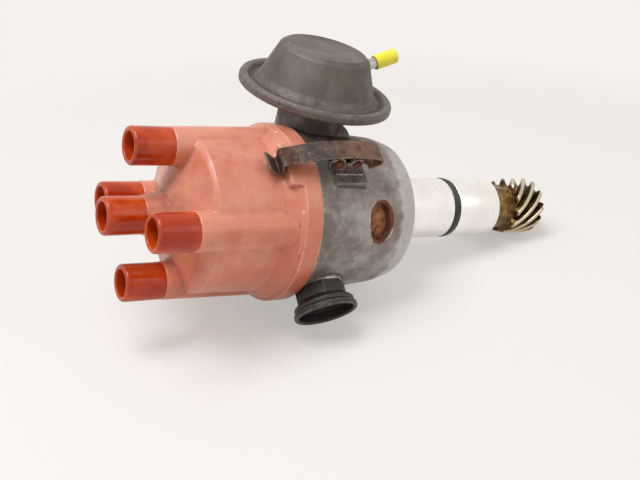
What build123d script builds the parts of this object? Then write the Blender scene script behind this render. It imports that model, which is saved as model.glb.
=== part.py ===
from build123d import *
import math
import os

# Frame: X runs along the drive shaft, +X towards the drive gear. X = 0 is the flat seat that meets
# the engine. +Z runs along the vacuum unit. Angles are about X, from +Z towards -Y. All sizes in mm.

# Driving sizes
shank_radius = 13.5
shank_length = 63.1
joint_x = -50.5
rim_radius = 34.8
seat_side_radius = 31.2
seat_face_radius = 29.4
corner_length = 8.5
wall = 3.4
floor_thickness = 5.0
shaft_radius = 4.5
spigot_radius = 3.5
gear_hub_length = 10.7
gear_width = 17.6
gear_radius = 13.2
tooth_count = 11
tooth_lead = 76.0
tooth_depth = 3.4

# Fits and gaps
running_fit = 0.05
end_float = 0.1
clear_gap = 0.3

# Angles about the shaft
tower_angle = -15.15
clip_angle = tower_angle + 45
slot_angle = 70.4
socket_angle = 125.3

# Cap sizes
tower_pitch_radius = 26.2
tower_radius = 7.3
tower_bore = 5.3
tower_tip_x = -115.6
centre_tip_x = -124.3
cap_body_radius = 31.2
cap_body_end = -92.5
skirt_radius = 36.0
skirt_end = joint_x - 7.8
ledge_end = joint_x - 13.0
ramp_end = joint_x - 14.5
skirt_step = 0.9
cap_ceiling = -80.0

# Vacuum unit sizes
can_x = -31.2
can_y = 22.5
can_z = 45.0
can_radius = 32.5
dome_base_radius = 24.6
dome_top_radius = 18.6
dome_height = 18.4
pull = 3.9

# Gear end, from the shank's end
lower_washer_end = shank_length + 1.0
gear_start = lower_washer_end + end_float + gear_hub_length
gear_pin_x = gear_start - gear_hub_length / 2
hub_radius = 10.2

# Inner stack, from the seat upwards
plate_level = -27.0
bowl_floor = -floor_thickness
washer_end = bowl_floor - 1.2
carrier_start = washer_end - end_float
carrier_end = carrier_start - 2.0
weight_start = carrier_end - clear_gap
weight_end = weight_start - 4.0
yoke_start = weight_end - clear_gap
yoke_end = yoke_start - 1.5
base_plate_end = plate_level - 1.5
pickup_start = base_plate_end - clear_gap
pickup_end = pickup_start - 1.4
collar_end = pickup_end - 1.2
rod_start = pickup_end - clear_gap
rod_end = rod_start - 1.5
wheel_start = -43.0
wheel_end = -44.2
shield_start = -46.6
shield_end = -47.4


def ring(profile):
    """Solid of revolution about X from (x, radius) points."""
    return revolve(Polygon(*profile, align=None), Axis.X)


def tube(x_from, x_to, outer, inner=0.0):
    """Plain tube or disc about X."""
    return ring([(x_from, inner), (x_to, inner), (x_to, outer), (x_from, outer)])


def upright(profile, x, y):
    """Solid of revolution about a line along Z, from (radius, z) points."""
    return Pos(x, y, 0) * revolve(Plane.XZ * Polygon(*profile, align=None), Axis.Z)


def turned(angle, shape):
    """Turns a shape made above the shaft (+Z) to an angle about the shaft."""
    return Rot(angle, 0, 0) * shape


def rod_x(x_from, x_to, radius, height=0.0, y=0.0):
    """Round bar along X, at a height above the shaft."""
    return Pos((x_from + x_to) / 2, y, height) * Rot(0, 90, 0) * Cylinder(radius, abs(x_to - x_from))


def rod_y(y_from, y_to, radius, x, z):
    return Pos(x, (y_from + y_to) / 2, z) * Rot(90, 0, 0) * Cylinder(radius, abs(y_to - y_from))


def rod_z(z_from, z_to, radius, x=0.0, y=0.0):
    return Pos(x, y, (z_from + z_to) / 2) * Cylinder(radius, abs(z_to - z_from))


def block(x_from, x_to, y_from, y_to, z_from, z_to):
    size = Box(abs(x_to - x_from), abs(y_to - y_from), abs(z_to - z_from))
    return Pos((x_from + x_to) / 2, (y_from + y_to) / 2, (z_from + z_to) / 2) * size


def sector(x_from, x_to, inner, outer, angle, half_angle):
    """Part of a tube about X, centred on an angle."""
    reach = outer * 1.5
    low = math.radians(half_angle)
    edge = [(0, 0), (reach * math.sin(low), reach * math.cos(low))]
    edge += [(0, reach * 1.6), (-reach * math.sin(low), reach * math.cos(low))]
    wedge = extrude(Plane.YZ * Polygon(*edge, align=None), amount=abs(x_to - x_from))
    wedge = Pos(min(x_from, x_to), 0, 0) * wedge
    return turned(angle, tube(x_from, x_to, outer, inner) & wedge)


def coil(radius, wire, pitch, length):
    """Coil spring standing on Z = 0, with six-sided wire."""
    path = Helix(pitch=pitch, height=length, radius=radius)
    section = Plane(origin=path @ 0, z_dir=path % 0) * RegularPolygon(wire, 6)
    return sweep(section, path=path, is_frenet=True)


def save(name, shape):
    shape.label = name
    export_step(shape, "parts/" + name + ".step")


os.makedirs("parts", exist_ok=True)

# Housing: bowl, shank, pads, neck for the vacuum unit

def outer_radius(x):
    """Radius of the tapered bowl wall at x."""
    share = (x - joint_x) / (-corner_length - joint_x)
    return rim_radius + (seat_side_radius - rim_radius) * share


def bowl():
    shape = ring([
        (joint_x, 0), (joint_x, rim_radius - 0.5), (joint_x + 0.5, rim_radius),
        (-corner_length, seat_side_radius), (-1.8, seat_face_radius), (0, seat_face_radius - 1.8),
        (0, shank_radius), (shank_length - 1.0, shank_radius), (shank_length, shank_radius - 1.0),
        (shank_length, 0)])
    inner = outer_radius(joint_x) - wall
    cavity = ring([
        (joint_x - 1, 0), (joint_x - 1, inner), (shield_start, inner), (shield_start, inner - 1.0),
        (plate_level, plate_seat_radius), (plate_level, plate_seat_radius - 1.2),
        (bowl_floor - 2.0, 27.8), (bowl_floor, 25.8), (bowl_floor, 0)])
    return shape, cavity


plate_seat_wall = 1.8
plate_seat_radius = seat_side_radius - plate_seat_wall
clip_pad_drop = 0.5
clip_pad_height = rim_radius - clip_pad_drop
clip_x_from = joint_x + 8.0
clip_x_to = joint_x + 21.5
socket_x = joint_x + 10.5
socket_pad = 34.2
socket_pad_radius = 9.5
socket_seat_radius = socket_pad_radius / math.cos(math.pi / 8) + 0.1
socket_stem_radius = 6.4
neck_top = 42.5
neck_from = -45.5
neck_to = -28.4
neck_y_from = 2.0
neck_y_to = 30.0
channel_y_from = can_y - 4.5
channel_y_to = can_y + 4.5
channel_x_from = rod_end - 1.2
channel_x_to = rod_start + 1.2


def neck():
    plan = Pos((neck_from + neck_to) / 2, (neck_y_from + neck_y_to) / 2, 0)
    plan = plan * Rectangle(neck_to - neck_from, neck_y_to - neck_y_from)
    far = plan.vertices().filter_by(lambda v: v.Y > can_y)
    plan = fillet(far, 7.0)
    near = plan.vertices().filter_by(lambda v: v.Y < neck_y_from + 0.5)
    plan = fillet(near, 3.0)
    stalk = Pos(0, 0, 8) * extrude(plan, amount=neck_top - 8)
    foot = [(neck_to - 1, 8), (neck_to - 1, neck_top - 3.2), (neck_to + 0.6, neck_top - 4.3)]
    foot += [(neck_to + 2.8, neck_top - 5.9), (neck_to + 4.9, neck_top - 8.1)]
    foot += [(neck_to + 6.4, neck_top - 10.4), (neck_to + 7.2, neck_top - 13.5), (neck_to + 7.4, 8)]
    half = (neck_y_to - neck_y_from) / 2 - 5
    flare = extrude(Plane.XZ * Polygon(*foot, align=None), amount=half, both=True)
    return stalk + Pos(0, neck_y_from + half, 0) * flare


def clip_pad():
    return block(clip_x_from, clip_x_to + 1.4, -9.0, 9.0, 26.0, clip_pad_height)


def slot_cutter():
    """Oval window, long way round the wall."""
    plan = Plane.XY * SlotOverall(15.4, 9.4, rotation=90)
    hole = extrude(plan, amount=40)
    mouth = Pos(0, 0, seat_side_radius + 0.2) * extrude(Plane.XY * SlotOverall(17.4, 11.4, rotation=90), amount=10)
    return Pos(-20.2, 0, 0) * Rot(0, 0, 10) * (hole + mouth)


def housing():
    shape, cavity = bowl()
    shape += neck()
    for angle in (clip_angle, clip_angle + 180):
        shape += turned(angle, clip_pad())
    shape += turned(socket_angle, rod_z(20, socket_pad, socket_pad_radius, socket_x))
    shape -= cavity
    shape -= tube(bowl_floor - 1, shank_length + 1, shaft_radius + 2.0)
    shape -= block(channel_x_from, channel_x_to, channel_y_from, channel_y_to, 5, neck_top + 1)
    shape -= turned(socket_angle, rod_z(15, socket_pad + 1, socket_stem_radius + 0.2, socket_x))
    shape -= turned(socket_angle, rod_z(socket_pad, socket_pad + 9, socket_seat_radius, socket_x))
    shape -= turned(slot_angle, slot_cutter())
    shape -= ring([
        (oring_x - 1.9, 11.4), (oring_x + 1.9, 11.4), (oring_x + 1.9, 20), (oring_x - 1.9, 20)])
    for x in can_screw_x:
        shape -= rod_z(neck_top - 8, neck_top + 1, 1.6, x, can_screw_y)
    for angle in (clip_angle, clip_angle + 180):
        for x in rivet_x:
            shape -= turned(angle, rod_z(clip_pad_height - 3.5, clip_pad_height + 1, 1.4, x))
    return shape


oring_x = 36.6
can_screw_x = (neck_from + 3.4, neck_to - 3.4)
can_screw_y = 10.0
rivet_x = (clip_x_from + 3.2, clip_x_to - 4.1)
save("housing", housing())

# Seal ring in its groove, standing a hair proud of the shank
oring = Pos(oring_x, 0, 0) * Rot(0, 90, 0) * Torus(shank_radius + 0.15 - 1.8, 1.8)
groove = tube(oring_x - 1.85, oring_x + 1.85, 20, 11.4)
save("o_ring", oring & groove)

# Bushes that carry the shaft
bush_outer = shaft_radius + 2.0
bush_inner = shaft_radius + running_fit
save("upper_bush", tube(bowl_floor, bowl_floor + 16, bush_outer, bush_inner))
save("lower_bush", tube(shank_length - 16, shank_length, bush_outer, bush_inner))
save("upper_washer", tube(washer_end, bowl_floor, 11.0, bush_inner))
save("lower_washer", tube(shank_length, lower_washer_end, 9.5, bush_inner))

# Drive shaft with its upper spigot
shoulder_x = yoke_start + end_float
spigot_end = -60.0
shaft_end = gear_start + gear_width - 0.4
shaft = ring([
    (spigot_end, 0), (spigot_end, spigot_radius), (shoulder_x, spigot_radius),
    (shoulder_x, shaft_radius), (shaft_end - 0.6, shaft_radius), (shaft_end, shaft_radius - 0.6),
    (shaft_end, 0)])
shaft -= rod_z(-10, 10, 1.5, gear_pin_x)
save("drive_shaft", shaft)


def tooth_profile():
    """Gear outline: straight-flanked teeth with a small flat on each tip."""
    depth = tooth_depth
    pitch = 360 / tooth_count
    tooth = [(-0.37, depth), (-0.25, depth * 0.5), (-0.14, 0), (0.14, 0), (0.25, depth * 0.5), (0.37, depth)]
    points = []
    for number in range(tooth_count):
        for share, drop in tooth:
            angle = math.radians((number + share) * pitch)
            radius = gear_radius - drop
            points.append((radius * math.cos(angle), radius * math.sin(angle)))
    return make_face(Polyline(*points, close=True)).face()


def gear():
    twist = -360 * gear_width / tooth_lead
    toothed = Solid.extrude_linear_with_rotation(tooth_profile(), (0, 0, 0), (0, 0, gear_width), twist)
    shape = Pos(gear_start, 0, 0) * Rot(0, 90, 0) * toothed
    edge = 0.9
    over = gear_radius + 1
    for face, inwards in ((gear_start, 1), (gear_start + gear_width, -1)):
        shape -= ring([
            (face - inwards, gear_radius - edge - 1), (face + inwards * (edge + 1), over),
            (face - inwards, over)])
    hub = ring([
        (lower_washer_end + end_float, 0), (lower_washer_end + end_float, hub_radius - 1.0),
        (lower_washer_end + 1.0, hub_radius), (gear_start, hub_radius), (gear_start, 0)])
    shape = hub + shape
    shape -= tube(0, shaft_end + 10, shaft_radius)
    shape -= tube(shaft_end - 1.2, shaft_end + 10, 7.0)
    return shape - rod_z(-12, 12, 1.5, gear_pin_x)


save("drive_gear", gear())
save("gear_pin", rod_z(clear_gap - hub_radius, hub_radius - clear_gap, 1.5, gear_pin_x))

# Advance mechanism: carrier, two weights, springs, cam sleeve with its yoke
pivot_radius = 19.0
drive_radius = 10.0
advance_limit = 12.0
weight_pin = 1.8
drive_pin = 1.25
spring_post_angle = 60
spring_post_radius = 20.0


def carrier():
    shape = tube(carrier_end, carrier_start, 14.0)
    for side in (0, 180):
        shape += sector(carrier_end, carrier_start, 0, 23.5, side, 22)
        shape += sector(carrier_end, carrier_start, 0, 22.0, side + spring_post_angle, 10)
    shape += tube(yoke_start + 0.4, carrier_start, 6.4)
    return shape - tube(yoke_start - 5, 0, shaft_radius)


def weight_outline(side):
    lobe = sector(weight_end, weight_start, 12.6, 22.5, -52, 50)
    lug = rod_x(weight_end, weight_start, 4.0, pivot_radius)
    toe = block(weight_end, weight_start, -2.4, 2.4, drive_radius - 2.0, pivot_radius)
    shape = lobe + lug + toe
    shape -= rod_x(weight_end - 1, weight_start + 1, weight_pin + running_fit, pivot_radius)
    shape += rod_x(yoke_end, weight_end + 0.5, drive_pin, drive_radius)
    return turned(side, shape)


save("advance_carrier", carrier())
pins = rod_x(weight_end - 0.2, carrier_end, weight_pin, pivot_radius)
pins += turned(180, rod_x(weight_end - 0.2, carrier_end, weight_pin, pivot_radius))
save("weight_pins", pins)
save("weight_a", weight_outline(0))
save("weight_b", weight_outline(180))

sleeve_step = -42.0
sleeve_end = -61.8
sleeve_outer = 6.0
sleeve_top_outer = 5.4


def sleeve():
    shape = ring([
        (yoke_start, spigot_radius + running_fit), (yoke_start, 7.4), (yoke_end - 0.5, 7.4),
        (yoke_end - 0.5, sleeve_outer), (sleeve_step, sleeve_outer), (sleeve_step, sleeve_top_outer),
        (sleeve_end, sleeve_top_outer), (sleeve_end, spigot_radius + running_fit)])
    arms = tube(yoke_end, yoke_start, 14.6, 7.0)
    room = drive_pin + clear_gap
    for side in (0, 180):
        slot = block(yoke_end - 1, yoke_start + 1, -room, room, drive_radius - room, 20)
        arms -= turned(side, slot)
    return shape + arms


save("cam_sleeve", sleeve())
save("felt_wick", tube(sleeve_end + 0.2, spigot_end - 0.2, spigot_radius + running_fit))

# Springs that pull the yoke back, hooked between carrier posts and yoke posts
yoke_post_angle = 112
yoke_post_radius = 12.6
spring_x = yoke_end - 2.4
post_radius = 0.9


def polar(x, radius, angle):
    turn = math.radians(angle)
    return Vector(x, -radius * math.sin(turn), radius * math.cos(turn))


def tension_spring(start, end):
    """Coil between two posts, with an eye round each post."""
    line = end - start
    eye = 1.6
    body = line.length - 2 * eye - 1.2
    winding = coil(1.5, 0.3, 1.1, body)
    bars = Pos(1.5, 0, -0.3) * Cylinder(0.3, 1.4) + Pos(1.5, 0, body + 0.3) * Cylinder(0.3, 1.4)
    place = Plane(origin=start + line.normalized() * (eye + 0.6), x_dir=(1, 0, 0), z_dir=line)
    shape = place * (winding + bars)
    for at in (start, end):
        shape += Pos(at.X + 1.5, at.Y, at.Z) * tube(-0.4, 0.4, eye, post_radius)
    return shape


for name, side in (("advance_spring_a", 0), ("advance_spring_b", 180)):
    start = polar(spring_x, spring_post_radius, side + spring_post_angle)
    end = polar(spring_x, yoke_post_radius, side + yoke_post_angle)
    save(name, tension_spring(start, end))

posts = Part() + [
    turned(side + spring_post_angle, rod_x(spring_x - 1.0, carrier_end, post_radius, spring_post_radius))
    for side in (0, 180)]
save("spring_posts", posts)
posts = Part() + [
    turned(side + yoke_post_angle, rod_x(spring_x - 1.0, yoke_end, post_radius, yoke_post_radius))
    for side in (0, 180)]
save("yoke_posts", posts)

# Fixed plate, turning pickup plate and the parts on them
collar_inner = 12.0
collar_outer = 13.5
skirt_outer = plate_seat_radius - 2.0
window_cover_end = weight_end - 0.4
base = tube(base_plate_end, plate_level, plate_seat_radius - 0.2, collar_inner)
base += tube(collar_end, plate_level, collar_outer, collar_inner)
base += tube(plate_level, window_cover_end, skirt_outer, skirt_outer - 1.1)
save("base_plate", base)

vacuum_pin_radius = 22.5
half_pull = math.degrees(math.asin(pull / 2 / vacuum_pin_radius))
vacuum_pin_y = vacuum_pin_radius * math.cos(math.radians(half_pull))
vacuum_pin_z = -pull / 2
save("pickup_plate", tube(pickup_end, pickup_start, 25.2, collar_outer + running_fit))
save("pickup_ring", tube(collar_end + 0.1, pickup_end - clear_gap, 16.2, collar_outer))
save("vacuum_pin", rod_x(rod_end - 0.8, pickup_end, 1.5, vacuum_pin_z, vacuum_pin_y))

vane_outer = 21.8
vane_inner = 20.6
sensor_angle = 195
sensor_end = -40.2
save("hall_magnet", sector(sensor_end, pickup_end, 16.6, vane_inner - 0.9, sensor_angle, 17))
save("hall_sensor", sector(sensor_end, pickup_end, vane_outer + 0.9, 25.2, sensor_angle, 14))

wheel = tube(wheel_end, wheel_start, vane_outer, sleeve_top_outer)
wheel += tube(-46.0, sleeve_step, 9.0, sleeve_top_outer)
for number in range(4):
    wheel += sector(wheel_start, -33.8, vane_inner, vane_outer, number * 90 + clip_angle, 27)
save("trigger_wheel", wheel)
save("wheel_circlip", tube(-46.9, -46.0, 7.8, sleeve_top_outer))
shield_outer = rim_radius - wall - 0.3
save("dust_shield", tube(shield_end, shield_start, shield_outer, 12.5))

# Rotor arm
rotor_bottom = -48.4
rotor_top = -65.0
blade_tip = 23.4
rotor = tube(rotor_top, rotor_bottom, 9.6)
rotor += turned(tower_angle, block(rotor_top, -61.0, -7.5, 7.5, 0, 19.5))
rotor += turned(tower_angle, block(rotor_top, -58.0, -4.0, 4.0, 0, 21.5))
rotor += sector(rotor_top, -61.0, 0, 14.0, tower_angle + 180, 60)
rotor -= tube(sleeve_end - 0.2, rotor_bottom + 1, sleeve_top_outer)
save("rotor_arm", rotor)
blade = turned(tower_angle, block(rotor_top - 0.8, rotor_top, -2.6, 2.6, -4.0, blade_tip))
blade += tube(rotor_top - 0.8, rotor_top, 4.4)
save("rotor_blade", blade)

# Cap: shell, five towers with their columns, ledges for the clips
terminal_x = tower_tip_x + 16.6
centre_terminal_x = centre_tip_x + 18.3
electrode_end = -63.6
electrode_radius = 2.0
brush_tip = rotor_top - 0.8 - clear_gap
brush_radius = 2.4
brush_back = -76.0
spring_back = -86.0
lip_end = shield_end


def tower_column():
    start = skirt_end + 1.0
    sleeve_start = tower_tip_x + 16.2
    length = start - sleeve_start
    column = Pos(start - length / 2, 0, tower_pitch_radius) * Rot(0, -90, 0)
    column = column * Cone(8.4, tower_radius + 0.2, length)
    top = ring([
        (sleeve_start + 0.5, 0), (sleeve_start + 0.5, tower_radius), (tower_tip_x + 0.9, tower_radius),
        (tower_tip_x, tower_radius - 0.8), (tower_tip_x, 0)])
    foot = sector(skirt_end - 1.2, skirt_end + 0.5, 28.0, skirt_radius - skirt_step + 0.1, 0, 13.5)
    return column + Pos(0, 0, tower_pitch_radius) * top + foot


def mouth(tip, bottom):
    """Bore of a tower, with its mouth rounded off."""
    return ring([
        (tip - 1, 0), (tip - 1, tower_bore + 0.7), (tip, tower_bore + 0.7), (tip + 0.7, tower_bore),
        (bottom, tower_bore), (bottom, 0)])


def cap():
    shape = ring([
        (lip_end, 0), (lip_end, rim_radius - wall - 0.3), (joint_x, rim_radius - wall - 0.3),
        (joint_x, skirt_radius - 0.6), (joint_x - 0.6, skirt_radius), (skirt_end, skirt_radius),
        (skirt_end, skirt_radius - skirt_step), (ramp_end, cap_body_radius + 0.25),
        (cap_body_end + 1.5, cap_body_radius - 0.6),
        (cap_body_end, cap_body_radius - 2.0), (-93.6, 26.0), (-94.8, 22.0), (-96.6, 17.5),
        (-99.0, 12.5), (-101.0, 8.6), (-109.0, tower_radius + 0.2), (-109.0, tower_radius),
        (centre_tip_x + 0.9, tower_radius), (centre_tip_x, tower_radius - 0.8), (centre_tip_x, 0)])
    for number in range(4):
        shape += turned(tower_angle + number * 90, tower_column())
    for angle in (clip_angle, clip_angle + 180):
        shape += sector(ledge_end, skirt_end + 0.5, 29.0, skirt_radius - 0.2, angle, 15)
    hollow = ring([
        (lip_end + 1, 0), (lip_end + 1, 29.6), (-62.0, 29.4), (-66.0, 28.6), (cap_ceiling + 2.0, 28.2),
        (cap_ceiling, 26.2), (cap_ceiling, 0)])
    bosses = tube(cap_ceiling - 1, -70.0, 5.6)
    for number in range(4):
        bosses += turned(tower_angle + number * 90, rod_x(-71.0, cap_ceiling - 1, 3.6, tower_pitch_radius))
    shape -= hollow
    shape += bosses & tube(-90.0, -60.0, 30.0)
    shape -= mouth(centre_tip_x, centre_terminal_x)
    shape -= tube(centre_terminal_x - 1, spring_back, 2.0)
    shape -= tube(spring_back, -69.0, brush_radius + running_fit)
    for number in range(4):
        angle = tower_angle + number * 90
        shape -= turned(angle, Pos(0, 0, tower_pitch_radius) * mouth(tower_tip_x, terminal_x))
        shape -= turned(angle, rod_x(terminal_x - 1, -60.0, electrode_radius, tower_pitch_radius))
    return shape


save("distributor_cap", cap())
post = rod_x(electrode_end, terminal_x, electrode_radius, tower_pitch_radius)
save("cap_electrodes", Part() + [turned(tower_angle + number * 90, post) for number in range(4)])
save("centre_electrode", tube(centre_terminal_x, spring_back, 2.0))
save("carbon_brush", tube(brush_tip, brush_back, brush_radius))
brush_spring = coil(1.7, 0.35, 1.6, brush_back - spring_back - 0.9)
save("brush_spring", Pos(brush_back - 0.5, 0, 0) * Rot(0, -90, 0) * brush_spring)

# Vacuum unit
rim_low = neck_top + 0.4
plate_top = neck_top + 1.7
lower = upright([
    (0, neck_top), (can_radius - 1.6, neck_top), (can_radius - 1.6, plate_top), (0, plate_top)],
    can_x, can_y)
lower -= block(channel_x_from, channel_x_to, channel_y_from, channel_y_to, neck_top - 1, plate_top + 1)
for x in can_screw_x:
    lower -= rod_z(neck_top - 1, plate_top + 1, 1.6, x, can_screw_y)
save("can_plate", lower)
save("can_screws", Part() + [rod_z(neck_top - 8, plate_top, 1.6, x, can_screw_y) for x in can_screw_x])

sheet = 1.0
membrane = 0.8
seat_z = plate_top + membrane
dome_top = can_z + dome_height
inner_top = dome_top - sheet
inner_dome = [
    (dome_base_radius - sheet, can_z + 2.6), (dome_top_radius - 0.6, dome_top - 4.4),
    (dome_top_radius - 2.0, inner_top - 1.2), (dome_top_radius - 4.8, inner_top), (0, inner_top)]
dome = upright([
    (0, dome_top), (dome_top_radius - 4.5, dome_top), (dome_top_radius - 1.0, dome_top - 1.2),
    (dome_top_radius + 0.6, dome_top - 4.0), (dome_base_radius, can_z + 3.2),
    (dome_base_radius + 1.6, can_z + 1.0), (can_radius - 2.6, can_z + 0.9),
    (can_radius - 1.0, can_z + 1.6), (can_radius, can_z + 0.2), (can_radius, rim_low + 0.8),
    (can_radius - 1.0, rim_low), (can_radius - 1.6, rim_low), (can_radius - 1.6, seat_z),
    (dome_base_radius + 1.0, seat_z)] + inner_dome, can_x, can_y)

nipple_tilt = 22.0
nipple_base = 18.0
nipple_z = can_z + 11.5
nipple_length = 16.8
nipple_radius = 2.3
cover_start = 7.2
cover_length = 10.4


def nipple_place(shape):
    """Moves a shape made along +Z to the vacuum nipple's line."""
    return Pos(can_x + nipple_base, can_y - 1.5, nipple_z) * Rot(0, 90 - nipple_tilt, 0) * shape


dome -= nipple_place(Cylinder(nipple_radius, 30))
save("can_dome", dome)
pipe = Pos(0, 0, nipple_length / 2) * Cylinder(nipple_radius, nipple_length)
pipe -= Pos(0, 0, nipple_length / 2) * Cylinder(1.3, nipple_length + 4)
inside = upright([(0, can_z - 5), (dome_base_radius - sheet, can_z - 5)] + inner_dome, can_x, can_y)
save("vacuum_nipple", nipple_place(pipe) - inside)
cover = Pos(0, 0, cover_start + cover_length / 2) * Cylinder(3.2, cover_length)
bore_depth = nipple_length + clear_gap - cover_start + 1
cover -= Pos(0, 0, cover_start - 1 + bore_depth / 2) * Cylinder(nipple_radius + running_fit, bore_depth)
save("nipple_cover", nipple_place(cover))

cup_radius = 14.0
cup_z = seat_z + 0.2
diaphragm = upright([
    (3.0, plate_top + 0.2), (cup_radius, plate_top + 0.2), (dome_base_radius - 4, plate_top + 0.05),
    (can_radius - 1.7, plate_top), (can_radius - 1.7, seat_z), (dome_base_radius, seat_z),
    (cup_radius, cup_z), (3.0, cup_z)], can_x, can_y)
save("diaphragm", diaphragm)
cup = upright([
    (3.0, cup_z), (cup_radius, cup_z), (cup_radius, cup_z + 1.0), (3.0, cup_z + 1.0)], can_x, can_y)
cup += upright([
    (0, plate_top + 0.2), (3.0, plate_top + 0.2), (3.0, cup_z), (5.0, cup_z + 1.0),
    (4.4, cup_z + 2.2), (0, cup_z + 2.2)], can_x, can_y)
save("diaphragm_cup", cup)
spring_low = cup_z + 1.0
vacuum_spring = coil(10.0, 0.8, 3.4, inner_top - spring_low - 1.8)
save("vacuum_spring", Pos(can_x, can_y, spring_low + 0.9) * vacuum_spring)

rod = block(rod_end, rod_start, can_y - 2.6, can_y + 2.6, vacuum_pin_z - 3.4, plate_top + 0.2)
rod -= rod_x(rod_end - 1, rod_start + 1, 1.5 + clear_gap, vacuum_pin_z, vacuum_pin_y)
save("pull_rod", rod)

# Spring clips and their brackets
strap_width = 8.0
strap_sheet = 0.8
pivot_x = joint_x + 16.0
pivot_height = clip_pad_height + 5.1
roller_x = joint_x + 7.2
roller_height = clip_pad_height + 4.7
bracket_end = clip_x_to - 0.9
pivot_pin = 1.3
tongue_half = 1.9
ear_inner = tongue_half + clear_gap
ear_outer = ear_inner + 1.0
plate_half = 5.4


def strap():
    eye = pivot_pin + running_fit + strap_sheet / 2
    hook = skirt_radius + 0.6
    path = FilletPolyline(
        (joint_x - 21.5, hook), (joint_x - 13.8, hook - 5.7), (joint_x - 16.6, hook + 2.0),
        (joint_x - 8.0, hook + 5.0), (joint_x + 1.0, pivot_height + 4.2),
        (joint_x + 11.0, pivot_height + 5.0), (joint_x + 21.0, pivot_height + 4.7),
        (joint_x + 26.0, pivot_height + 3.5), (joint_x + 27.0, pivot_height + 1.0),
        (joint_x + 24.0, pivot_height - 1.8), (pivot_x, pivot_height - eye), radius=0.9)
    flat = trace(path, line_width=strap_sheet)
    flat += Pos(pivot_x, pivot_height) * Circle(eye + strap_sheet / 2)
    flat -= Pos(pivot_x, pivot_height) * Circle(eye - strap_sheet / 2)
    shape = extrude(Plane.XZ * flat, amount=strap_width / 2, both=True)
    for side in (-1, 1):
        beside = block(pivot_x - 3.2, joint_x + 22.5, side * tongue_half, side * strap_width, 30, pivot_height + 2.6)
        shape -= beside
    return shape


def bracket():
    plate = block(clip_x_from, bracket_end, -plate_half, plate_half, clip_pad_height, clip_pad_height + 1.0)
    outline = Polygon(
        (clip_x_from - 0.6, clip_pad_height), (bracket_end, clip_pad_height), (pivot_x + 2.5, pivot_height - 0.6),
        (pivot_x, pivot_height), (roller_x, roller_height), (roller_x - 2.2, roller_height - 2.0), align=None)
    outline += Pos(pivot_x, pivot_height) * Circle(2.7)
    outline += Pos(roller_x, roller_height) * Circle(3.3)
    ear = extrude(Plane.XZ * outline, amount=ear_outer, both=True)
    ear -= block(joint_x, 0, -ear_inner, ear_inner, clip_pad_height + 1.0, 60)
    shape = plate + ear
    shape -= rod_y(-20, 20, pivot_pin, pivot_x, pivot_height)
    shape -= rod_y(-20, 20, pivot_pin, roller_x, roller_height)
    for x in rivet_x:
        shape -= rod_z(clip_pad_height - 1, clip_pad_height + 2, 1.4, x)
    return shape


def clip_pins():
    """Pivot pin and rest pin with their rivet heads."""
    shape = rod_y(-ear_outer - 0.8, ear_outer + 0.8, pivot_pin, pivot_x, pivot_height)
    shape += rod_y(-ear_outer - 0.8, ear_outer + 0.8, pivot_pin, roller_x, roller_height)
    for side in (-1, 1):
        shape += rod_y(side * ear_outer, side * (ear_outer + 0.8), 1.8, pivot_x, pivot_height)
        shape += rod_y(side * ear_outer, side * (ear_outer + 0.8), 2.6, roller_x, roller_height)
    return shape


def bracket_rivets():
    shape = Part()
    for x in rivet_x:
        shape += rod_z(clip_pad_height - 3.5, clip_pad_height + 1.0, 1.4, x)
        shape += rod_z(clip_pad_height + 1.0, clip_pad_height + 1.5, 2.0, x)
    return shape


for name, angle in (("near", clip_angle), ("far", clip_angle + 180)):
    save("clip_" + name, turned(angle, strap()))
    save("clip_bracket_" + name, turned(angle, bracket()))
    save("clip_pins_" + name, turned(angle, clip_pins()))
    save("bracket_rivets_" + name, turned(angle, bracket_rivets()))

# Connector socket for the sensor's cable
socket_radius = 13.0
socket_mouth = 45.8
socket_step = socket_mouth - 4.8
socket_bottom = socket_pad + 0.6


def terminal(turn):
    spot = Pos(socket_x, 0, 0) * Rot(0, 0, turn) * Pos(4.0, 0, 0)
    return spot * rod_z(25.5, socket_step - 0.4, 0.9)


def socket():
    corner = socket_pad_radius / math.cos(math.pi / 8)
    turns = [math.radians(22.5 + 45 * number) for number in range(8)]
    facets = Polygon(*[(corner * math.cos(turn), corner * math.sin(turn)) for turn in turns], align=None)
    shape = Pos(socket_x, 0, socket_pad) * extrude(facets, amount=6.4, dir=(0, 0, 1))
    shape += upright([
        (0, socket_pad + 5.4), (9.8, socket_pad + 5.4), (socket_radius - 1.6, socket_pad + 6.5),
        (socket_radius - 0.7, socket_pad + 7.4), (socket_radius - 0.7, socket_pad + 8.6),
        (socket_radius - 1.2, socket_pad + 8.8), (socket_radius - 1.2, socket_pad + 9.4),
        (socket_radius, socket_pad + 9.7), (socket_radius, socket_mouth - 0.4),
        (socket_radius - 0.4, socket_mouth), (0, socket_mouth)], socket_x, 0)
    shape += rod_z(27.5, socket_pad, socket_stem_radius, socket_x)
    shape -= upright([
        (0, socket_bottom), (8.0, socket_bottom), (8.0, socket_step), (11.2, socket_step),
        (11.2, socket_mouth - 0.5), (11.7, socket_mouth), (11.7, socket_mouth + 1), (0, socket_mouth + 1)],
        socket_x, 0)
    for turn in (0, 120, 240):
        shape -= terminal(turn)
    return shape


save("connector_socket", turned(socket_angle, socket()))
pins = Part() + [terminal(turn) for turn in (0, 120, 240)]
save("socket_terminals", turned(socket_angle, pins))
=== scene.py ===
# Ignition distributor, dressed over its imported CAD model. The scene is in metres, X along the drive shaft,
# and the sizes of pieces, finishes, camera and table are given in millimetres.
import bpy
import bmesh
import math
import numpy
from mathutils import Matrix, Vector


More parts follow.
